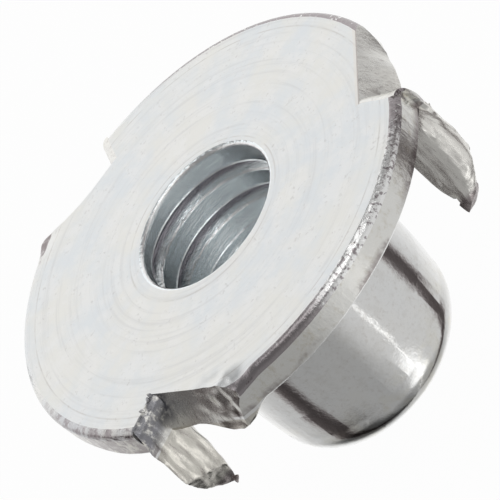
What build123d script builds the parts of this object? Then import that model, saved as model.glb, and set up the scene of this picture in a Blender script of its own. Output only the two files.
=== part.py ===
from build123d import *
from math import cos, radians, sin, tan
import os

# A pressed steel tee nut. The axis is Z, the barrel stands on its end at Z = 0,
# and the flange face is up.
# All lengths are in millimetres and all angles in degrees.

# Flange: a blanked disc whose upper rim edge is rolled over by the blanking and whose lower one is broken.
flange_radius = 8.0
flange_thickness = 1.15
rim_roll = 0.28
rim_break = 0.06

# Barrel: drawn out of the middle of the disc, with a rounded nose and a narrow flat end ring.
total_height = 9.1
barrel_radius = 3.84
root_round = 0.45
nose_height = 1.47
end_ring_radius = 2.88

# Hole: tapping size for a quarter-inch coarse thread of 20 to the inch, with a drawn-in mouth
# and a chamfered exit.
bore_radius = 2.68
mouth_round = 0.16
exit_chamfer = 0.1

# Prongs: where each stands round the rim, its width, how far its sides are skewed from square to its
# front, and how far down its bevel starts. The shears don't cut alike, so the prongs differ a little.
prong_angles = (-35.5, 84.0, 209.5)
prong_widths = (1.376, 1.376, 1.5)
prong_skews = (0.0, 0.0, 25.0)
bevel_starts = (4.1, 3.33, 3.33)

# Notches: each is sheared along a straight line that ends at the rim.
# The wall that this leaves leans outward as it goes down.
cut_distance = 6.56
cut_start = 0.736
cut_lean = 0.51

# Folds: the sheared tab turns down past upright about a line from the inner end of the cut to the rim.
fold_slant = 9.0
fold_past = 8.5
fold_round = 0.45
prong_thickness = 0.96

# Outline of a prong, measured outward from the cut line and down from the flange face.
prong_length = 4.95
prong_splay = 4.0
tip_reach = 0.288
outer_straight = 2.9
inner_straight = 2.82

# Bevel that thins a prong across its lower outer edge.
bevel_share = 0.5
bevel_slant = 42.0
bevel_angle = 28.0

# How far a cutting shape runs past the metal that it cuts.
overrun = 2.0

seat_height = total_height - flange_thickness
far_out = flange_radius + overrun


def turned_body():
    """Flange, barrel and hole as one profile turned about the axis."""
    mouth = (bore_radius + mouth_round, total_height)
    face_edge = (flange_radius - rim_roll, total_height)
    rim_top = (flange_radius, total_height - rim_roll)
    rim_bottom = (flange_radius, seat_height + rim_break)
    seat_rim = (flange_radius - rim_break, seat_height)
    seat_edge = (barrel_radius + root_round, seat_height)
    root = (barrel_radius, seat_height - root_round)
    nose = (barrel_radius, nose_height)
    ring_outer = (end_ring_radius, 0)
    ring_inner = (bore_radius + exit_chamfer, 0)
    exit_edge = (bore_radius, exit_chamfer)
    throat = (bore_radius, total_height - mouth_round)
    outline = [
        Line(mouth, face_edge),
        TangentArc(face_edge, rim_top, tangent=(1, 0)),
        Line(rim_top, rim_bottom),
        Line(rim_bottom, seat_rim),
        Line(seat_rim, seat_edge),
        TangentArc(seat_edge, root, tangent=(-1, 0)),
        Line(root, nose),
        TangentArc(nose, ring_outer, tangent=(0, -1)),
        Line(ring_outer, ring_inner),
        Line(ring_inner, exit_edge),
        Line(exit_edge, throat),
        TangentArc(throat, mouth, tangent=(0, 1)),
    ]
    return revolve(Plane.XZ * make_face(outline), Axis.Z)


def fold_frame():
    """Where the fold line starts, turned so that the fold runs out along its own X."""
    return Pos(cut_distance, cut_start, 0) * Rot(0, 0, -fold_slant)


def notch_cutter():
    """The metal taken out of the rim at one prong, from the fold line to the cut's end at the rim."""
    slope = cut_lean / flange_thickness
    above = total_height + overrun
    below = seat_height - overrun
    wall_above = cut_distance - slope * overrun
    wall_below = cut_distance + cut_lean + slope * overrun
    corners = [(wall_above, above), (far_out, above), (far_out, below), (wall_below, below)]
    section = make_face(Polyline(*corners, close=True))
    band = extrude(Plane.XZ * section, amount=far_out, both=True)
    one_side = (Align.CENTER, Align.MIN, Align.CENTER)
    beyond_fold = Box(far_out + far_out, far_out, above + above, align=one_side)
    return band & fold_frame() * beyond_fold


def folded_strip():
    """A strip of the flange sheet turned down at the fold, as wide as the whole notch."""
    turned = 90 + fold_past
    bend_reach = fold_round * sin(radians(turned))
    bend_drop = fold_round - fold_round * cos(radians(turned))
    bend_end = (bend_reach, total_height - bend_drop)
    leg_drop = prong_length + overrun - bend_drop
    toe = (bend_reach - leg_drop * tan(radians(fold_past)), total_height - bend_drop - leg_drop)
    heel = (toe[0] - prong_thickness / cos(radians(fold_past)), toe[1])
    inside_height = seat_height + flange_thickness / 2
    inside = (heel[0] + (inside_height - heel[1]) * tan(radians(fold_past)), inside_height)
    outline = [
        TangentArc((0, total_height), bend_end, tangent=(1, 0)),
        Line(bend_end, toe),
        Line(toe, heel),
        Line(heel, inside),
        Line(inside, (0, inside_height)),
        Line((0, inside_height), (0, total_height)),
    ]
    return extrude(Plane.YZ * make_face(outline), amount=far_out, both=True)


def claw_outline(width, skew):
    """The claw shape that the strip is trimmed to, run back from its front at a skew and splayed outward."""
    inner_turn = (0, -inner_straight)
    outer_turn = (width, -outer_straight)
    tip = (tip_reach, -prong_length)
    outline = [
        Line((width, overrun), (0, overrun)),
        Line((0, overrun), inner_turn),
        TangentArc(inner_turn, tip, tangent=(0, -1)),
        TangentArc(outer_turn, tip, tangent=(0, -1)),
        Line(outer_turn, (width, overrun)),
    ]
    run = Vector(sin(radians(skew)), cos(radians(skew)), 0)
    claw = extrude(Plane.XZ * make_face(outline), amount=far_out, dir=run, both=True)
    set_back = tan(radians(skew)) * fold_round
    return Pos(-set_back, 0, total_height) * Rot(0, -prong_splay, 0) * claw


def tip_bevel(width, bevel_start):
    """A block that slants across the front of a prong and thins it towards the lower outer edge."""
    reach = prong_length + overrun
    block = Box(reach, reach, reach, align=(Align.CENTER, Align.MIN, Align.MAX))
    front = fold_round - bevel_start * tan(radians(fold_past))
    place = Pos(width * bevel_share, front, total_height - bevel_start)
    return place * Rot(0, -bevel_slant, 0) * Rot(-fold_past - bevel_angle, 0, 0) * block


def prong(width, skew, bevel_start):
    """One folded prong, in place at the fold line."""
    claw = folded_strip() & claw_outline(width, skew)
    return fold_frame() * (claw - tip_bevel(width, bevel_start))


def tee_nut():
    """The whole piece, with a notch and a prong at each of the prong angles."""
    piece = turned_body()
    cutter = notch_cutter()
    for angle in prong_angles:
        piece -= Rot(0, 0, angle) * cutter
    for angle, *own_sizes in zip(prong_angles, prong_widths, prong_skews, bevel_starts):
        piece += Rot(0, 0, angle) * prong(*own_sizes)
    return piece


os.makedirs("parts", exist_ok=True)
export_step(tee_nut(), "parts/tee_nut.step")
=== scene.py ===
from math import ceil, cos, hypot, pi, radians, sin, sqrt, tan
from types import SimpleNamespace

import bmesh
import bpy
from mathutils import Euler, Matrix, Vector, noise


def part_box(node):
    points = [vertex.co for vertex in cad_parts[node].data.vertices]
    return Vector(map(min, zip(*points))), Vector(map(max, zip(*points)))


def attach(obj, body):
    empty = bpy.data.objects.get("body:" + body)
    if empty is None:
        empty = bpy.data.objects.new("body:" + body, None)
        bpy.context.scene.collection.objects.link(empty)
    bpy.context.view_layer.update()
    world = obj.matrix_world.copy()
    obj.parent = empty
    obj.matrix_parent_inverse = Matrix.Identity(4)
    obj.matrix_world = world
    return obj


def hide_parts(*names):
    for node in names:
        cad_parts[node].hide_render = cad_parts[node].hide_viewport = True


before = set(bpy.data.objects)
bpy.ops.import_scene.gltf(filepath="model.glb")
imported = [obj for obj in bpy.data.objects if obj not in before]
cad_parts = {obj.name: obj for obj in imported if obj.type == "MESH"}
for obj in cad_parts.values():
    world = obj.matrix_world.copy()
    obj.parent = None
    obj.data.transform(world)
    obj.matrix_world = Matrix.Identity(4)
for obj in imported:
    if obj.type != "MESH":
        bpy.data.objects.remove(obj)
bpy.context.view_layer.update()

# Nut: one pressing of sheet steel, its flange, drawn barrel and prongs all the same metal, zinc plated.
# The hole is tapped right-handed after the drawing, which leaves wide flat crests between the grooves.
MM = 0.001
_, high_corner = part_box("tee_nut")
TOP = high_corner.z
FLANGE_RADIUS = high_corner.x
SEAT = TOP - 1.15 * MM
ROOT_RADIUS = 4.4 * MM
ROLL_INNER = 7.6 * MM
ROLL_LOW = TOP - 0.3 * MM
ROLL_TILT = 0.03
BORE_RADIUS = 2.68 * MM
BORE_LOW = 0.10 * MM
BORE_HIGH = TOP - 0.16 * MM
PITCH = 1.27 * MM
GROOVE_RADIUS = 3.06 * MM
LAND_SHARE = 0.55
ROOT_SHARE = 0.10
ROOT_CORNER = 0.86
EDGE_BURR = ((0.95, 0), (0.98, -0.10))
GROOVE_START = TOP - 0.70 * MM
GROOVE_START_ANGLE = radians(90)
TAPER = 0.45 * MM
END_GAP = 0.06 * MM
STEPS_A_TURN = 96
SAME_PLACE = 0.001 * MM
SAME_LEVEL = 0.002 * MM


def tapped_wall():
    """The thread as a helical strip one pitch high, swept up the hole and cut level at both ends."""
    wall = bmesh.new()
    groove = 1 - LAND_SHARE
    half_root = ROOT_SHARE / 2
    middle = groove / 2
    depth = GROOVE_RADIUS - BORE_RADIUS
    shares = [
        (0, 0),
        (middle - 1.5 * half_root, ROOT_CORNER),
        (middle - half_root / 2, 1),
        (middle + half_root / 2, 1),
        (middle + 1.5 * half_root, ROOT_CORNER),
        (groove, 0),
        *EDGE_BURR,
        (1, 0),
    ]
    profile = [(-down * PITCH, BORE_RADIUS + deep * depth) for down, deep in shares]
    turns = int((BORE_HIGH - BORE_LOW) / PITCH) + 4
    start = GROOVE_START - (turns - 2) * PITCH
    out_x = cos(GROOVE_START_ANGLE)
    out_y = sin(GROOVE_START_ANGLE)
    corners = [wall.verts.new((r * out_x, r * out_y, start + z)) for z, r in profile]
    for pair in zip(corners, corners[1:]):
        wall.edges.new(pair)
    bmesh.ops.spin(
        wall,
        geom=wall.verts[:] + wall.edges[:],
        cent=(0, 0, 0),
        axis=(0, 0, 1),
        dvec=(0, 0, PITCH / STEPS_A_TURN),
        angle=2 * pi * turns,
        steps=STEPS_A_TURN * turns,
    )
    bmesh.ops.remove_doubles(wall, verts=wall.verts, dist=SAME_LEVEL)
    for height, outward in ((BORE_LOW + END_GAP, -1), (BORE_HIGH - END_GAP, 1)):
        bmesh.ops.bisect_plane(
            wall,
            geom=wall.verts[:] + wall.edges[:] + wall.faces[:],
            plane_co=(0, 0, height),
            plane_no=(0, 0, outward),
            clear_outer=True,
        )
    for vert in wall.verts:
        room = min(vert.co.z - BORE_LOW, BORE_HIGH - vert.co.z) - END_GAP
        share = min(max(room / TAPER, 0), 1)
        radius = hypot(vert.co.x, vert.co.y)
        wanted = BORE_RADIUS + (radius - BORE_RADIUS) * share
        vert.co.x *= wanted / radius
        vert.co.y *= wanted / radius
    return wall


def add_object(name, shape):
    """Puts a finished bmesh into the scene as an object at the origin."""
    mesh = bpy.data.meshes.new(name)
    shape.to_mesh(mesh)
    shape.free()
    piece = bpy.data.objects.new(name, mesh)
    bpy.context.scene.collection.objects.link(piece)
    return piece


solid_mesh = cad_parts["tee_nut"].data.copy()
true_normals = solid_mesh.attributes.new("true_normal", "FLOAT_VECTOR", "CORNER")
for corner, normal in zip(true_normals.data, solid_mesh.corner_normals):
    corner.vector = normal.vector
nut_shape = bmesh.new()
nut_shape.from_mesh(solid_mesh)
bpy.data.meshes.remove(solid_mesh)
bmesh.ops.remove_doubles(nut_shape, verts=nut_shape.verts, dist=SAME_PLACE)
plain_wall = [
    face
    for face in nut_shape.faces
    if all(hypot(v.co.x, v.co.y) < BORE_RADIUS + SAME_PLACE for v in face.verts)
]
bmesh.ops.delete(nut_shape, geom=plain_wall, context="FACES")
thread_shape = tapped_wall()
thread_mesh = bpy.data.meshes.new("thread_strip")
thread_shape.to_mesh(thread_mesh)
thread_shape.free()
nut_shape.from_mesh(thread_mesh)
bpy.data.meshes.remove(thread_mesh)
open_edges = [edge for edge in nut_shape.edges if edge.is_boundary]
for height in (BORE_LOW, BORE_HIGH):
    ring = [e for e in open_edges if all(abs(v.co.z - height) < 2 * END_GAP for v in e.verts)]
    bmesh.ops.bridge_loops(nut_shape, edges=ring)
bmesh.ops.recalc_face_normals(nut_shape, faces=nut_shape.faces)
flat_layer = nut_shape.faces.layers.float.new("flange_face")
roll_layer = nut_shape.faces.layers.float.new("rim_roll")
for face in nut_shape.faces:
    face[flat_layer] = float(all(v.co.z > TOP - SAME_LEVEL for v in face.verts))
    middle = face.calc_center_median()
    radius = hypot(middle.x, middle.y)
    slope = hypot(face.normal.x, face.normal.y)
    outward = (face.normal.x * middle.x + face.normal.y * middle.y) / radius
    rolled = radius > ROLL_INNER and middle.z > ROLL_LOW and outward > 0.9 * slope > ROLL_TILT
    face[roll_layer] = float(rolled)

# Dragged metal: the shears pull the rim about where a cut runs out, and leave burrs under its wall.
# At one prong the corner is torn as well, and hangs below the flange as a lip.
NEAR_PRONG = -35.5
FAR_PRONG = 84.0
TORN_PRONG = 209.5
CUT_DISTANCE = 6.56 * MM
CUT_HALF = sqrt(FLANGE_RADIUS**2 - CUT_DISTANCE**2)
WALL_FOOT = 7.07 * MM
DRAG_DEPTH = 1.4 * MM
BLOCKS_ROUND = 4
FINE = 0.11 * MM
COARSE = 0.22 * MM
TEAR_GRAIN = 2600
TEAR_SEED = 5
DRAGS = (
    # prong angle, place outward and along the cut, reach, moves of the face and of the underside in mm,
    # depth of the tear, size of the cells
    (NEAR_PRONG, (WALL_FOOT, 3.74 * MM), 0.9 * MM, (0, 0, 0), (-0.14, -0.10, 0), 0.01 * MM, FINE),
    (NEAR_PRONG, (WALL_FOOT, 1.90 * MM), 1.6 * MM, (0, 0, 0), (0.16, 0, -0.20), 0.01 * MM, FINE),
    (NEAR_PRONG, (7.90 * MM, 0.75 * MM), 1.5 * MM, (0, -0.36, 0), (0, -0.08, 0), 0, COARSE),
    (FAR_PRONG, (CUT_DISTANCE, 2.60 * MM), 2.4 * MM, (-0.22, 0, 0), (-0.22, 0, 0), 0, COARSE),
    (FAR_PRONG, (6.60 * MM, 4.45 * MM), 0.95 * MM, (0.20, 0.16, 0), (0.20, 0.16, 0), 0.06 * MM, FINE),
    (FAR_PRONG, (CUT_DISTANCE, CUT_HALF), 0.8 * MM, (0.06, 0.02, -0.12), (0, 0, -0.05), 0.05 * MM, FINE),
    (TORN_PRONG, (CUT_DISTANCE, CUT_HALF), 0.9 * MM, (0, 0, -0.16), (0, 0, 0), 0.03 * MM, FINE),
    (TORN_PRONG, (WALL_FOOT, 3.60 * MM), 1.5 * MM, (0, 0, 0), (0.16, 0.32, -0.36), 0.10 * MM, FINE),
    (TORN_PRONG, (7.40 * MM, -2.60 * MM), 2.2 * MM, (0, 0, 0), (0, 0, 0.20), 0, COARSE),
)


def near_faces(shape, to_middle, reach):
    """The faces whose middles lie within a block round a place, by that place's own axes."""
    found = []
    for face in shape.faces:
        middle = to_middle @ face.calc_center_median()
        if all(abs(part) < room for part, room in zip(middle, reach)):
            found.append(face)
    return found


def corners_of(faces):
    """The corners of the given faces, each once and in the same order on every run."""
    return list(dict.fromkeys(vert for face in faces for vert in face.verts))


def with_borders(faces):
    """The given faces, their edges and their corners in one list."""
    edges = dict.fromkeys(edge for face in faces for edge in face.edges)
    return [*corners_of(faces), *edges, *faces]


def slit(shape, metal, place, axis):
    """Cuts some metal along a plane, and gives it back with the new edges."""
    return bmesh.ops.bisect_plane(shape, geom=metal, plane_co=place, plane_no=axis, dist=SAME_PLACE)["geom"]


def dice(shape, from_middle, reach, cells):
    """Cuts out the sides of a block round a place, then cuts the faces in it into small cells."""
    to_middle = from_middle.inverted()
    axes = [from_middle.to_3x3() @ Vector(axis) for axis in ((1, 0, 0), (0, 1, 0), (0, 0, 1))]
    sides = [(axis, side * room) for axis, room in zip(axes, reach) for side in (-1, 1)]
    slices = []
    for axis, room, cell in zip(axes, reach, cells):
        count = ceil(room / cell)
        slices += [(axis, step * cell) for step in range(-count, count + 1)]
    for cuts, width in ((sides, BLOCKS_ROUND), (slices, 1)):
        metal = with_borders(near_faces(shape, to_middle, [width * room for room in reach]))
        for axis, offset in cuts:
            metal = slit(shape, metal, from_middle.translation + offset * axis, axis)
    return [part for part in metal if isinstance(part, bmesh.types.BMFace)]


def drop_kept_normals(shape, faces):
    """Lets the shading of moved faces follow their new shape."""
    kept_normal = shape.loops.layers.float_vector["true_normal"]
    for face in faces:
        for loop in face.loops:
            loop[kept_normal] = (0, 0, 0)


def drag(shape, prong_angle, place, reach, face_move, seat_move, tear, cell):
    """Moves the metal round one place of a notch, most at its middle and less outward."""
    turn = Matrix.Rotation(radians(prong_angle), 4, "Z")
    from_middle = turn @ Matrix.Translation((*place, TOP))
    to_middle = from_middle.inverted()
    faces = dice(shape, from_middle, (reach, reach, DRAG_DEPTH), (cell, cell, cell))
    for vert in corners_of(faces):
        local = to_middle @ vert.co
        share = max(0, 1 - hypot(local.x, local.y) / reach)
        pull = share * share * (3 - 2 * share)
        depth = min(max(-local.z / (TOP - SEAT), 0), 1)
        move = Vector(face_move).lerp(Vector(seat_move), depth) * MM
        crumple = tear * noise.noise_vector(vert.co * TEAR_GRAIN)
        vert.co += pull * (turn.to_3x3() @ move + crumple)
    drop_kept_normals(shape, faces)


noise.seed_set(TEAR_SEED)
for one_drag in DRAGS:
    drag(nut_shape, *one_drag)

# Gouged prongs: the dies score the prongs along their length, and the folds and tips are left lumpy.
# The nearest prong is worn round with a bulging outer side, and the torn one is bent off its line.
FOLD_START = 0.736 * MM
FOLD_SLANT = radians(9)
FOLD_ROUND = 0.45 * MM
FOLD_PAST = radians(8.5)
PRONG_THICKNESS = 0.96 * MM
PRONG_LENGTH = 4.8 * MM
PRONG_MIDDLE = Vector((0.5 * MM, -0.4 * MM, TOP - 2.6 * MM))
PRONG_ROOM = (1.5 * MM, 1.15 * MM, 2.55 * MM)
PRONG_CELLS = (0.08 * MM, 0.14 * MM, 0.15 * MM)
FRONT_OFF = 0.05 * MM
FRONT_START = TOP - 0.1 * MM
BACK_START = SEAT - 0.05 * MM
GOUGE_FADE = 0.7 * MM
OUTER_HALF = 0.5 * MM
WORN_HALF = 0.45 * MM
WORN_LOW = TOP - 4.5 * MM
WORN_HIGH = SEAT - 0.3 * MM
SCORE_GRAIN = Vector((5200, 5200, 420))
LUMP_GRAIN = 1500
BEND_AT_FOLD = 0.4
WEAR_RATE = 0.5
GOUGES = (
    # prong angle, depth of the scores and of the lumps, bulge and skew of the outer side,
    # bend of the tip in mm, rounds of wear
    (NEAR_PRONG, 0.02 * MM, 0.06 * MM, 0.15 * MM, 0.28, (0, -0.03, -0.06), 28),
    (FAR_PRONG, 0.03 * MM, 0.05 * MM, 0.08 * MM, 0, (0, 0, 0), 10),
    (TORN_PRONG, 0.045 * MM, 0.05 * MM, 0, 0, (0.15, -0.27, -0.16), 4),
)


def fold_axes(prong_angle):
    """The axes of one fold: out along it, off the flange and up."""
    turn = Matrix.Rotation(radians(prong_angle), 4, "Z")
    start = Matrix.Translation((CUT_DISTANCE, FOLD_START, 0))
    return turn @ start @ Matrix.Rotation(-FOLD_SLANT, 4, "Z")


def gouge(shape, prong_angle, score, lump, bulge, skew, bend, wear):
    """Wears the edges of one prong round, then scores, dents and bends it."""
    fold = fold_axes(prong_angle)
    to_fold = fold.inverted()
    faces = dice(shape, fold @ Matrix.Translation(PRONG_MIDDLE), PRONG_ROOM, PRONG_CELLS)
    faces = [f for f in faces if not f[flat_layer]]
    shape.normal_update()
    moved = {}
    worn = []
    for vert in corners_of(faces):
        local = to_fold @ vert.co
        if local.x > WORN_HALF and WORN_LOW < local.z < WORN_HIGH:
            worn.append(vert)
        start = FRONT_START if local.y > FRONT_OFF else BACK_START
        share = min(max((start - local.z) / GOUGE_FADE, 0), 1)
        down = (TOP - local.z) / PRONG_LENGTH
        dents = score * noise.noise(local * SCORE_GRAIN) + lump * noise.noise(vert.co * LUMP_GRAIN)
        middle = FOLD_ROUND - (TOP - local.z) * tan(FOLD_PAST) - PRONG_THICKNESS / 2
        off_middle = local.y - middle
        across = off_middle / (PRONG_THICKNESS / 2)
        swell = (bulge * max(0, 1 - across * across) + skew * off_middle) * (local.x > OUTER_HALF)
        shift = Vector(bend) * MM * (BEND_AT_FOLD + (1 - BEND_AT_FOLD) * down) + Vector((swell, 0, 0))
        moved[vert] = share * (dents * vert.normal + fold.to_3x3() @ shift)
    all_axes = {"use_axis_x": True, "use_axis_y": True, "use_axis_z": True}
    for _ in range(wear):
        bmesh.ops.smooth_vert(shape, verts=worn, factor=WEAR_RATE, **all_axes)
    for vert, move in moved.items():
        vert.co += move
    drop_kept_normals(shape, faces)


for one_gouge in GOUGES:
    gouge(nut_shape, *one_gouge)

# Burrs: crumbs of metal that the shears pushed up along the fold of the torn prong.
# Its tip ends in a small hook. Crumbs and hook are the nut's own metal and are sunk into it.
CRUMBS = (
    # out along the fold, off the flange, down, size, all in mm
    (0.04, 0.04, 0.03, 0.07),
    (0.22, 0.02, 0.03, 0.09),
    (0.40, 0.10, 0.05, 0.07),
    (0.58, 0.02, 0.04, 0.10),
    (0.98, 0.06, 0.06, 0.08),
    (0.50, 0.24, 0.14, 0.07),
    (0.86, 0.30, 0.22, 0.07),
)
HOOK_OFFSET = Vector((0.02, 0.05, 0.10)) * MM
HOOK_STRETCH = (1.2, 1.6, 0.8, 1)
HOOK_SIZE = 0.10 * MM
PRONG_SIDE = -0.5 * MM
BURR_TEAR = 0.09 * MM
BURR_GRAIN = 6000
torn_fold = fold_axes(TORN_PRONG)
fold_points = [torn_fold.inverted() @ vert.co for vert in nut_shape.verts]
tip = min((point for point in fold_points if point.x > PRONG_SIDE), key=lambda point: point.z)
burr_shape = bmesh.new()
for out, off, down, size in CRUMBS:
    place = torn_fold @ Matrix.Translation((out * MM, off * MM, TOP - down * MM))
    bmesh.ops.create_icosphere(burr_shape, subdivisions=3, radius=size * MM, matrix=place)
hook = torn_fold @ Matrix.Translation(tip + HOOK_OFFSET) @ Matrix.Diagonal(HOOK_STRETCH)
bmesh.ops.create_icosphere(burr_shape, subdivisions=3, radius=HOOK_SIZE, matrix=hook)
for vert in burr_shape.verts:
    vert.co += BURR_TEAR * noise.noise_vector(vert.co * BURR_GRAIN)
for face in burr_shape.faces:
    face.smooth = True

# Lean: the barrel was drawn a little out of square, so that it and its hole tilt against the flange.
# It is a little thicker on the side that it leans from, and drawn in slightly above its nose.
LEAN_HEIGHT = 5.4 * MM
LEAN_SLOPE = 0.035
WALL_INNER = 2.9 * MM
THICK_SIDE = 0.32 * MM
THICK_INNER = 3.2 * MM
THICK_HEIGHT = 5 * MM
THICK_TOP = SEAT + 0.01 * MM
NOSE_START = 2.9 * MM
NOSE_EDGE = 1.47 * MM
NOSE_CURVE = 34
NOSE_RINGS = 10
SHARP_ANGLE = radians(32)
barrel_wall = []
for face in nut_shape.faces:
    middle = face.calc_center_median()
    if WALL_INNER < hypot(middle.x, middle.y) < ROOT_RADIUS and middle.z < SEAT:
        if face.normal.x * middle.x + face.normal.y * middle.y > 0:
            barrel_wall.append(face)
metal = with_borders(barrel_wall)
for step in range(NOSE_RINGS):
    height = NOSE_EDGE + (NOSE_START - NOSE_EDGE) * (step + 1) / NOSE_RINGS
    metal = slit(nut_shape, metal, (0, 0, height), (0, 0, 1))
nose = [f for f in metal if isinstance(f, bmesh.types.BMFace) and f.calc_center_median().z < NOSE_START]
for vert in corners_of(nose):
    drop = max(NOSE_START - max(vert.co.z, NOSE_EDGE), 0)
    inward = NOSE_CURVE * drop * drop * min(vert.co.z / NOSE_EDGE, 1)
    radius = hypot(vert.co.x, vert.co.y)
    vert.co.x *= 1 - inward / radius
    vert.co.y *= 1 - inward / radius
drop_kept_normals(nut_shape, nose)
for vert in nut_shape.verts:
    radius = hypot(vert.co.x, vert.co.y)
    if radius < ROOT_RADIUS:
        toward = max(vert.co.x / radius, 0)
        if radius > THICK_INNER and vert.co.z < THICK_TOP:
            vert.co.x += THICK_SIDE * toward * min(vert.co.z / THICK_HEIGHT, 1)
        vert.co.x += LEAN_SLOPE * (vert.co.z - LEAN_HEIGHT)
for face in nut_shape.faces:
    face.smooth = True
for edge in nut_shape.edges:
    edge.smooth = edge.calc_face_angle(pi) < SHARP_ANGLE
nut = add_object("nut", nut_shape)
kept_normals = [tuple(corner.vector) for corner in nut.data.attributes["true_normal"].data]
nut.data.normals_split_custom_set(kept_normals)
nut.data.attributes.remove(nut.data.attributes["true_normal"])
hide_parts("tee_nut")
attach(nut, "root")
burrs = add_object("burrs", burr_shape)
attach(burrs, "root")

# Zinc plating: a thin bright layer over the steel, satin on the face and smoother where the metal was drawn.
# Sheared walls and prongs keep the streaks of the cut, and turn brown where the tips tore.
# Painted light: shade on the roll, grooves, torn prong and rim foot, highlights on edges, lighter +x prongs.
COOL = (0.81, 0.84, 0.86, 1)
WARM = (0.87, 0.865, 0.83, 1)
PALE = (0.93, 0.93, 0.92, 1)
SMOKY = (0.34, 0.30, 0.30, 1)
# Painted highlight colour, for the glints on the roll and the line on the rim's lower edge.
HIGHLIGHT_WHITE = (0.98, 0.98, 0.97, 1)
RING_GREY = (0.60, 0.60, 0.60, 1)
PIT_BROWN = (0.40, 0.38, 0.36, 1)
LINE_BROWN = (0.52, 0.49, 0.45, 1)
CUT_BEIGE = (0.86, 0.81, 0.74, 1)
CUT_BROWN = (0.40, 0.35, 0.33, 1)
SHEARED_STEEL = (0.90, 0.88, 0.83, 1)
PRONG_STEEL = (0.74, 0.71, 0.64, 1)
LIT_PRONG_STEEL = (0.98, 0.96, 0.91, 1)
RIM_STEEL = (0.90, 0.89, 0.85, 1)
RIM_YELLOW = (0.66, 0.61, 0.50, 1)
# Painted shade colour of the rolled rim edge.
ROLL_SHADE_BROWN = (0.36, 0.32, 0.33, 1)
DRAWN_STEEL = (0.84, 0.84, 0.83, 1)
DRAWN_PIT = (0.50, 0.44, 0.40, 1)
DRAWN_MOTTLE = (0.60, 0.57, 0.52, 1)
NOSE_YELLOW = (0.80, 0.76, 0.62, 1)
HOLE_BLUE = (0.94, 0.985, 1.0, 1)
GROOVE_SHADE_PURPLE = (0.36, 0.32, 0.36, 1)
TURNED_GREY = (0.60, 0.59, 0.64, 1)
CREST_HIGHLIGHT = (1, 1, 1, 1)
TORN_BROWN = (0.42, 0.37, 0.37, 1)
FOLD_SHADE_GREY = (0.26, 0.26, 0.28, 1)
OUTSIDE_EDGE = (4.5 * MM, 4.6 * MM)
HOLE_EDGE = (3.1 * MM, 3.2 * MM)
RIM_EDGE = (7.90 * MM, 7.96 * MM)
SEAT_EDGE = (SEAT - 0.03 * MM, SEAT - 0.01 * MM)
BARREL_TOP = (SEAT - 0.02 * MM, SEAT)
TURNED_LINES = ((7.36 * MM, 0.035 * MM), (3.10 * MM, 0.04 * MM))
LINE_CORE = 0.01 * MM
CUT_START = (0.70 * MM, 0.75 * MM)
CUT_BAND = (6.38 * MM, 6.44 * MM)
CUT_LINE = (6.51 * MM, 6.53 * MM)
SIDE_CHANGE = (-1 * MM, 1 * MM)
RIM_FOOT = (SEAT + 0.10 * MM, SEAT + 0.40 * MM)
RIM_LINE = (SEAT + 0.07 * MM, SEAT + 0.10 * MM)
NOSE_STAIN = (0.8 * MM, 3.2 * MM)
GROOVE_SHADE_HEIGHTS = (TOP - 3.2 * MM, TOP - 2.5 * MM)
TIP_STAIN = (4.55 * MM, 4.85 * MM)
CORNER_START = (3.7 * MM, 4.1 * MM)
CORNER_END = (4.9 * MM, 5.2 * MM)
CORNER_EDGE = (6.50 * MM, 6.62 * MM)
CORNER_MIDDLE = 4.2 * MM
CORNER_SLANT = 0.9
FOLD_INNER = (-0.3 * MM, 0.0)
FOLD_BACK = (-0.1 * MM, 0.0)
FOLD_FRONT = (0.4 * MM, 0.8 * MM)
FOLD_LOW = (TOP - 1.3 * MM, TOP - 0.5 * MM)
PRONG_EDGE = (1.40 * MM, 1.56 * MM)
TORN_WAY = (-0.97, -0.26)
PRONG_WAY = (0.79, -0.61)
BOX_SIDE = (0.39, -0.92)
LEFT_WAY = (-0.57, 0.82)
FOLD_OUT = torn_fold.to_3x3() @ Vector((1, 0, 0))
PRONG_SPLAY = 0.07
BUMP_DEPTH = 0.02 * MM


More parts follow.
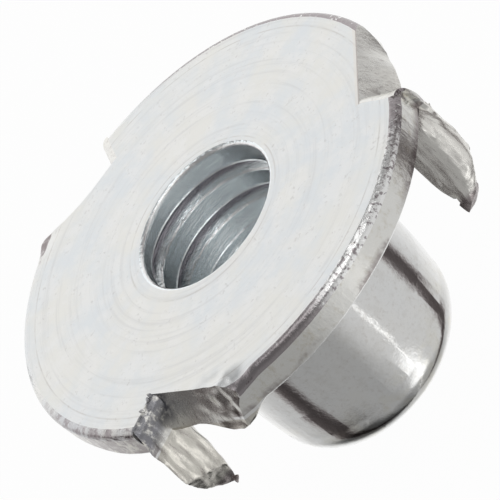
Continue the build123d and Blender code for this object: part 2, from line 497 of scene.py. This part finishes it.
class Shade:
    """One output of a shader node. Arithmetic signs between shades add Math nodes."""

    def __init__(self, tree, socket=None):
        self.tree = tree
        self.socket = socket

    def add(self, kind, settings=None, sockets=None, output=0):
        """Adds a node: first its settings, then the values or links of its sockets."""
        node = self.tree.nodes.new(kind)
        for name, value in (settings or {}).items():
            setattr(node, name, value)
        for key, value in (sockets or {}).items():
            if isinstance(value, Shade):
                self.tree.links.new(value.socket, node.inputs[key])
            else:
                node.inputs[key].default_value = value
        return Shade(self.tree, node.outputs[output] if node.outputs else None)

    def math(self, operation, first, second=0.0):
        return self.add("ShaderNodeMath", {"operation": operation}, {0: first, 1: second})

    def __add__(self, other):
        return self.math("ADD", self, other)

    def __radd__(self, other):
        return self.math("ADD", other, self)

    def __sub__(self, other):
        return self.math("SUBTRACT", self, other)

    def __rsub__(self, other):
        return self.math("SUBTRACT", other, self)

    def __mul__(self, other):
        return self.math("MULTIPLY", self, other)

    def __rmul__(self, other):
        return self.math("MULTIPLY", other, self)

    def __truediv__(self, other):
        return self.math("DIVIDE", self, other)

    def __rtruediv__(self, other):
        return self.math("DIVIDE", other, self)

    def __abs__(self):
        return self.math("ABSOLUTE", self)

    def step(self, low, high, bottom=0.0, top=1.0):
        """A smooth change from bottom to top as this value goes from low to high."""
        settings = {"interpolation_type": "SMOOTHSTEP"}
        sockets = {"Value": self, "From Min": low, "From Max": high, "To Min": bottom, "To Max": top}
        return self.add("ShaderNodeMapRange", settings, sockets)

    def fade(self, low, high):
        """A smooth change from 1 to 0 as this value goes from low to high."""
        return self.step(low, high, 1.0, 0.0)

    def parts(self):
        """The three numbers of a vector."""
        split = self.tree.nodes.new("ShaderNodeSeparateXYZ")
        self.tree.links.new(self.socket, split.inputs[0])
        return [Shade(self.tree, output) for output in split.outputs]

    def blend(self, first, second):
        """A colour that goes from first to second as this value goes from 0 to 1."""
        settings = {"data_type": "RGBA", "clamp_factor": True}
        return self.add("ShaderNodeMix", settings, {0: self, 6: first, 7: second}, output=2)


def new_finish(name):
    """A material with its shader tree emptied, and a Shade to build it with."""
    finish = bpy.data.materials.new(name)
    finish.use_nodes = True
    finish.node_tree.nodes.clear()
    return finish, Shade(finish.node_tree)


def grain(shade, place, stretch, detail=4.0, roughness=0.55):
    """Noise from 0 to 1 on the piece's own axes, finer along an axis with a larger stretch."""
    scaled = shade.add("ShaderNodeVectorMath", {"operation": "MULTIPLY"}, {0: place, 1: stretch})
    sockets = {"Vector": scaled, "Scale": 1.0, "Detail": detail, "Roughness": roughness}
    return shade.add("ShaderNodeTexNoise", {}, sockets)


def plated_zones(shade):
    """Where a point of the nut lies, and from 0 to 1 how far it belongs to each zone of it."""
    place = shade.add("ShaderNodeTexCoord", output="Object")
    x, y, z = place.parts()
    radius = shade.math("SQRT", x * x + y * y)
    upright_x = x - LEAN_SLOPE * (z - LEAN_HEIGHT)
    hole_radius = shade.math("SQRT", upright_x * upright_x + y * y)
    face = shade.add("ShaderNodeAttribute", {"attribute_name": "flange_face"}, output="Fac")
    roll = shade.add("ShaderNodeAttribute", {"attribute_name": "rim_roll"}, output="Fac")
    below_seat = z.fade(*SEAT_EDGE)
    outside = radius.step(*OUTSIDE_EDGE)
    hole = hole_radius.fade(*HOLE_EDGE) * (1 - face)
    rim = radius.step(*RIM_EDGE) * (1 - below_seat) * (1 - face) * (1 - roll)
    return SimpleNamespace(
        place=place,
        x=x,
        y=y,
        z=z,
        radius=radius,
        groove=(hole_radius - BORE_RADIUS) / (GROOVE_RADIUS - BORE_RADIUS),
        face=face,
        roll=roll,
        hole=hole,
        rim=rim,
        prong=below_seat * outside,
        barrel=(1 - outside) * (1 - hole) * z.fade(*BARREL_TOP),
        sheared=outside * (1 - face) * (1 - rim) * (1 - roll),
    )


def plated_grains(shade, zone):
    """The noises of the plating, from broad patches to fine pits."""
    ring_sockets = {0: zone.radius * 5200, 1: zone.x * 160, 2: zone.y * 160}
    ring_place = shade.add("ShaderNodeCombineXYZ", {}, ring_sockets)
    return SimpleNamespace(
        patches=grain(shade, zone.place, (420, 420, 420), 4.0, 0.6),
        clouds=grain(shade, zone.place, (1100, 1100, 1100), 5.0, 0.6),
        mottle=grain(shade, zone.place, (3200, 3200, 2400), 5.0, 0.65),
        streaks=grain(shade, zone.place, (8000, 8000, 700), 6.0, 0.65),
        turned=grain(shade, zone.place, (700, 700, 9000), 5.0, 0.65),
        pits=grain(shade, zone.place, (7200, 7200, 7200), 3.0),
        rings=grain(shade, ring_place, (1, 1, 1), 5.0, 0.7),
    )


def along_cut(zone, prong_angle):
    """How far a point lies outward of the axis and along the cut, by one prong's own axes."""
    turn = radians(prong_angle)
    outward = zone.x * cos(turn) + zone.y * sin(turn)
    return outward, zone.y * cos(turn) - zone.x * sin(turn)


def facing(zone, way):
    """The cosine of the angle round the axis between a point and a level direction."""
    return (zone.x * way[0] + zone.y * way[1]) / zone.radius


def tint_face(colour, zone, grains):
    """Flange face: pale clouds, fine rings from the press, pits, two turned lines and the edge of one cut."""
    colour = (zone.face * grains.clouds.step(0.4, 0.65) * 0.6).blend(colour, PALE)
    colour = (zone.face * grains.rings.step(0.48, 0.72) * 0.30).blend(colour, RING_GREY)
    pitted = grains.pits.step(0.58, 0.72) * grains.clouds.step(0.42, 0.58)
    colour = (zone.face * pitted * 0.28).blend(colour, PIT_BROWN)
    outer_line, mouth_line = [
        abs(zone.radius - line_radius).fade(LINE_CORE, half_width) for line_radius, half_width in TURNED_LINES
    ]
    lines = (outer_line + mouth_line) * grains.clouds.step(0.35, 0.6)
    colour = (zone.face * lines * 0.4).blend(colour, LINE_BROWN)
    outward, along = along_cut(zone, NEAR_PRONG)
    by_cut = zone.face * along.step(*CUT_START)
    colour = (by_cut * outward.step(*CUT_BAND) * 0.5).blend(colour, CUT_BEIGE)
    return (by_cut * outward.step(*CUT_LINE) * 0.7).blend(colour, CUT_BROWN)


def tint_cuts(colour, zone, grains):
    """Sheared walls and prongs: warm steel with dark streaks, and painted light that makes the prongs at +x
    lighter.
    """
    colour = (zone.sheared * 0.7).blend(colour, SHEARED_STEEL)
    # Painted light: the prongs at +x get a lighter tone of the same steel.
    prong_tone = zone.x.step(*SIDE_CHANGE).blend(PRONG_STEEL, LIT_PRONG_STEEL)
    colour = (zone.prong * 0.8).blend(colour, prong_tone)
    return (zone.sheared * grains.streaks.step(0.50, 0.74) * 0.5).blend(colour, SMOKY)


def tint_rim(colour, zone, grains):
    """Rim: yellowish mottle, dark patches at its foot and by the torn prong, painted shadow by the near
    prong, painted highlight on its lower edge.
    """
    mottle = grains.mottle
    colour = (zone.rim * 0.8).blend(colour, RIM_STEEL)
    colour = (zone.rim * mottle.step(0.48, 0.70) * 0.5).blend(colour, RIM_YELLOW)
    foot = zone.z.fade(*RIM_FOOT)
    dark_foot = foot * grains.patches.step(0.50, 0.58) * mottle.step(0.25, 0.60)
    colour = (zone.rim * dark_foot * 0.8).blend(colour, SMOKY)
    by_torn = facing(zone, TORN_WAY).step(0.88, 0.97)
    colour = (zone.rim * by_torn * mottle.fade(0.44, 0.66) * 0.8).blend(colour, SMOKY)
    toward_prong = facing(zone, PRONG_WAY)
    # Painted shadow along the rim's foot beside the near prong.
    dark_foot = foot * toward_prong.step(0.90, 0.97) * mottle.step(0.30, 0.50)
    colour = (zone.rim * dark_foot * 0.8).blend(colour, SMOKY)
    # Painted highlight: a bright line along the rim's lower edge, left out beside the near prong.
    edge_highlight = zone.z.fade(*RIM_LINE) * toward_prong.fade(0.86, 0.94)
    return (zone.rim * edge_highlight).blend(colour, HIGHLIGHT_WHITE)


def tint_roll(colour, zone, grains):
    """Rolled rim edge: painted brown shade, pale at the left, and painted glints as bright specks, most of
    them at the front.
    """
    # Painted glints: bright specks, more of them where the roll faces the soft box, fading out towards -x.
    speckled = (0.5 * grains.mottle + 0.5 * grains.pits).step(0.57, 0.62)
    painted_glint = speckled + facing(zone, BOX_SIDE).step(0.88, 0.97) * grains.pits.step(0.38, 0.48)
    painted_glint = painted_glint * (zone.x / zone.radius).step(-0.4, 0.1)
    # Painted shade: the roll is darkened brown, least at the left and in patches by the torn prong.
    by_torn = facing(zone, TORN_WAY).step(0.80, 0.95) * grains.mottle.step(0.40, 0.55)
    roll_shade = facing(zone, LEFT_WAY).step(0.45, 0.75, 0.9, 0.1) * (1 - by_torn * 0.6)
    colour = (zone.roll * roll_shade).blend(colour, ROLL_SHADE_BROWN)
    return (zone.roll * painted_glint).blend(colour, HIGHLIGHT_WHITE)


def tint_barrel(colour, zone, grains):
    """Barrel: smooth drawn steel with faint pits and a yellow stain at the nose."""
    colour = (zone.barrel * 0.8).blend(colour, DRAWN_STEEL)
    colour = (zone.barrel * grains.pits.step(0.52, 0.72) * 0.2).blend(colour, DRAWN_PIT)
    colour = (zone.barrel * grains.mottle.step(0.45, 0.7) * 0.2).blend(colour, DRAWN_MOTTLE)
    at_nose = zone.z.fade(*NOSE_STAIN) * zone.barrel
    return (at_nose * grains.clouds.step(0.45, 0.65) * 0.35).blend(colour, NOSE_YELLOW)


def tint_hole(colour, zone, grains):
    """Hole: bluish lands, painted shade in the grooves near the mouth, turning marks and painted highlights
    on the crests.
    """
    groove = zone.groove
    colour = zone.hole.blend(colour, HOLE_BLUE)
    # Painted shade: the grooves near the mouth are darkened purple.
    groove_shade = groove.step(0.45, 0.85) * zone.z.step(*GROOVE_SHADE_HEIGHTS)
    colour = (zone.hole * groove_shade * 0.8).blend(colour, GROOVE_SHADE_PURPLE)
    colour = (zone.hole * grains.turned.step(0.52, 0.72) * 0.25).blend(colour, TURNED_GREY)
    # Painted highlight: a white line along the edge of each crest.
    crest_highlight = groove.step(0.02, 0.08) * groove.fade(0.16, 0.26)
    return (zone.hole * crest_highlight).blend(colour, CREST_HIGHLIGHT)


def tint_torn(colour, zone, grains):
    """Torn metal: brown prong tips, one dragged corner, and painted shade on the torn prong's fold and outer
    edge.
    """
    x, y, z = zone.x, zone.y, zone.z
    colour = (zone.prong * z.fade(*TIP_STAIN) * 0.9).blend(colour, TORN_BROWN)
    outward, along = along_cut(zone, FAR_PRONG)
    corner = along.step(*CORNER_START) * along.fade(*CORNER_END)
    corner = corner * (outward + CORNER_SLANT * (along - CORNER_MIDDLE)).step(*CORNER_EDGE)
    colour = (corner * grains.mottle.fade(0.50, 0.66)).blend(colour, SMOKY)
    # Painted shade over the torn prong's fold.
    from_fold_x = x - torn_fold.translation.x
    from_fold_y = y - torn_fold.translation.y
    fold_out = from_fold_x * FOLD_OUT.x + from_fold_y * FOLD_OUT.y
    fold_off = from_fold_y * FOLD_OUT.x - from_fold_x * FOLD_OUT.y
    fold_shade = fold_off.step(*FOLD_BACK) * fold_off.fade(*FOLD_FRONT) * fold_out.step(*FOLD_INNER)
    fold_shade = fold_shade * z.step(*FOLD_LOW) * (1 - zone.face)
    colour = (fold_shade * grains.mottle.fade(0.50, 0.64) * 0.95).blend(colour, FOLD_SHADE_GREY)
    # Painted shade along the torn prong's outer edge.
    outer_edge_shade = (fold_out - PRONG_SPLAY * (TOP - z)).step(*PRONG_EDGE) * x.fade(*SIDE_CHANGE)
    return (zone.prong * outer_edge_shade * 0.7).blend(colour, SMOKY)


def plated_gloss(zone, grains):
    """Roughness: least on the drawn barrel and in the hole, most on the face."""
    other = 1 - zone.face - zone.barrel - zone.hole - zone.sheared - zone.rim - zone.roll
    gloss = 0.34 * zone.face + 0.10 * zone.barrel + 0.12 * zone.hole
    gloss = gloss + 0.26 * zone.sheared + 0.20 * zone.rim + 0.16 * zone.roll + 0.28 * other.step(0.0, 1.0)
    gloss = gloss + 0.10 * (grains.clouds - 0.5) + 0.16 * (grains.streaks - 0.5) * zone.sheared
    return gloss + 0.20 * (grains.mottle - 0.5) * (zone.barrel + zone.rim)


def plated_relief(zone, grains):
    """Height of the fine marks: rings, pits, streaks of the cuts, turning marks and mottle."""
    height = (0.30 * grains.rings + 0.25 * grains.pits) * zone.face
    height = height + (0.7 * grains.streaks + 0.8 * grains.mottle) * zone.sheared
    height = height + (3.0 * grains.turned + 1.3 * grains.pits) * zone.hole
    height = height + (0.28 * grains.mottle + 0.25 * grains.pits) * zone.barrel
    return height + (grains.mottle + 0.4 * grains.streaks) * zone.rim + 2.6 * grains.mottle * zone.roll


def zinc_plating():
    """The plating of the whole nut, tinted zone by zone."""
    finish, shade = new_finish("zinc_plating")
    zone = plated_zones(shade)
    grains = plated_grains(shade, zone)
    colour = grains.patches.step(0.36, 0.64).blend(COOL, WARM)
    for tint in (tint_face, tint_cuts, tint_rim, tint_roll, tint_barrel, tint_hole, tint_torn):
        colour = tint(colour, zone, grains)
    bump_sockets = {"Strength": 0.6, "Distance": BUMP_DEPTH, "Height": plated_relief(zone, grains)}
    relief = shade.add("ShaderNodeBump", {}, bump_sockets)
    gloss = plated_gloss(zone, grains)
    metal_sockets = {"Base Color": colour, "Metallic": 1.0, "Roughness": gloss, "Normal": relief}
    metal = shade.add("ShaderNodeBsdfPrincipled", {}, metal_sockets)
    shade.add("ShaderNodeOutputMaterial", {}, {"Surface": metal})
    return finish


nut.data.materials.clear()
nut.data.materials.append(zinc_plating())
burrs.data.materials.append(nut.data.materials[0])

# Floor: a plain pale table top under the nut.
# Seen by the camera it is white, with a faint shadow where the nut stands.
FLOOR_HALF = 1.2
FLOOR_WHITE = 0.97
floor_shape = bmesh.new()
bmesh.ops.create_grid(floor_shape, x_segments=1, y_segments=1, size=FLOOR_HALF)
floor = add_object("floor", floor_shape)
floor_finish, shade = new_finish("pale_floor")
paper = shade.add("ShaderNodeBsdfDiffuse", {}, {"Color": (0.85, 0.85, 0.85, 1)})
glow = shade.add("ShaderNodeEmission", {}, {"Color": (1, 1, 1, 1), "Strength": 1.0})
seen = shade.add("ShaderNodeLightPath", output="Is Camera Ray")
white = shade.add("ShaderNodeMixShader", {}, {0: seen * FLOOR_WHITE, 1: paper, 2: glow})
shade.add("ShaderNodeOutputMaterial", {}, {"Surface": white})
floor.data.materials.append(floor_finish)
floor.visible_glossy = False

# Studio surround: a white tent round the nut, brightest behind it, with a dark gap at each side.
# Soft boxes hang above and in front, a strip light stands low in front, and a small glow lies under it.
# The camera sees plain white.
GAP_TURN = radians(-1)
GAP_DARK = 0.86
GAP_TINT = (1.0, 0.86, 0.86, 1)
STRIP_TURN = radians(-68)
BOX_WAY = Vector((0.227, -0.511, 0.829))
GLOW_WAY = Vector((0.19, -0.58, -0.79))
STRIP_POWER = 0.8
BOX_POWER = 1.2
GLOW_POWER = 0.6
TOP_POWER = 0.8
room = bpy.data.worlds.new("studio_surround")
bpy.context.scene.world = room
room.use_nodes = True
room.node_tree.nodes.clear()
shade = Shade(room.node_tree)
x, y, z = shade.add("ShaderNodeTexCoord", output="Generated").parts()
level = shade.math("SQRT", x * x + y * y + 0.0001)
across = (y * cos(GAP_TURN) - x * sin(GAP_TURN)) / level
along = (x * cos(GAP_TURN) + y * sin(GAP_TURN)) / level
back_tone = (0.53 + 0.46 * across) * z.step(0.62, 0.85, 1.0, 0.3)
front_low = along.step(-0.3, 0.25, 0.35, 0.64)
front_high = along.step(-0.2, 0.5, 0.24, 0.52)
front_tone = front_low + (front_high - front_low) * z.step(0.0, 0.6)
tone = front_tone + (back_tone - front_tone) * across.step(-0.05, 0.05)
left_wide = along.fade(-0.1, 0.1) * z.step(-0.3, 0.15)
level_band = abs(z).fade(0.0, 0.35) * along.step(-0.1, 0.1)
gap_start = 0.09 + 0.32 * left_wide - 0.05 * level_band
gap_end = 0.26 + 0.50 * left_wide - 0.13 * level_band
gap_top = along.step(-0.1, 0.1, 0.14, 0.62)
inside_gap = ((abs(across) - gap_start) / (gap_end - gap_start)).fade(0.0, 1.0)
inside_gap = inside_gap * ((z - gap_top) / 0.18).fade(0.0, 1.0)
tone = tone * (1 - GAP_DARK * inside_gap)
left_under = z.step(-0.78, -0.60, 0.15, 1.0)
right_under = z.step(-0.96, -0.80, 0.6, 1.0)
tone = tone * (left_under + (right_under - left_under) * along.step(-0.95, -0.6))
left_back = along.fade(-0.9, -0.3) * across.step(0.1, 0.4) * z.fade(-0.2, 0.1)
tone = tone * (1 - 0.22 * left_back)
strip = (x * sin(-STRIP_TURN) + y * cos(STRIP_TURN)) / level
strip_light = abs(strip).fade(0.01, 0.035) * y.fade(-0.1, 0.0) * z.fade(0.0, 0.2)
box_light = (x * BOX_WAY.x + y * BOX_WAY.y + z * BOX_WAY.z).step(0.966, 0.985)
glow_light = (x * GLOW_WAY.x + y * GLOW_WAY.y + z * GLOW_WAY.z).step(0.972, 0.996)
tone = tone + STRIP_POWER * strip_light + BOX_POWER * box_light
tone = tone + GLOW_POWER * glow_light + TOP_POWER * z.step(0.92, 0.98)
seen = shade.add("ShaderNodeLightPath", output="Is Camera Ray")
strength = tone + (1 - tone) * seen
tint = (inside_gap * (1 - seen)).blend((1, 1, 1, 1), GAP_TINT)
light = shade.add("ShaderNodeBackground", {}, {"Color": tint, "Strength": strength})
shade.add("ShaderNodeOutputWorld", {}, {"Surface": light})

# Camera: a long lens from the photograph's side, turned with the nut's slanted pose in the picture.
# Its reach is in flange radii from the middle of the flange face, so that it follows the nut's size.
CAMERA_REACH = Vector((-0.1892, -10.6569, 6.7238))
CAMERA_TURN = (43.312, 41.018, -35.962)
camera_data = bpy.data.cameras.new("camera")
camera_data.sensor_width = 36
camera_data.lens = 227.13
camera_data.clip_start = 0.001
camera = bpy.data.objects.new("camera", camera_data)
camera.location = Vector((0, 0, TOP)) + CAMERA_REACH * FLANGE_RADIUS
camera.rotation_euler = Euler([radians(a) for a in CAMERA_TURN])
bpy.context.scene.collection.objects.link(camera)
bpy.context.scene.camera = camera
bpy.context.scene.view_settings.view_transform = "Standard"
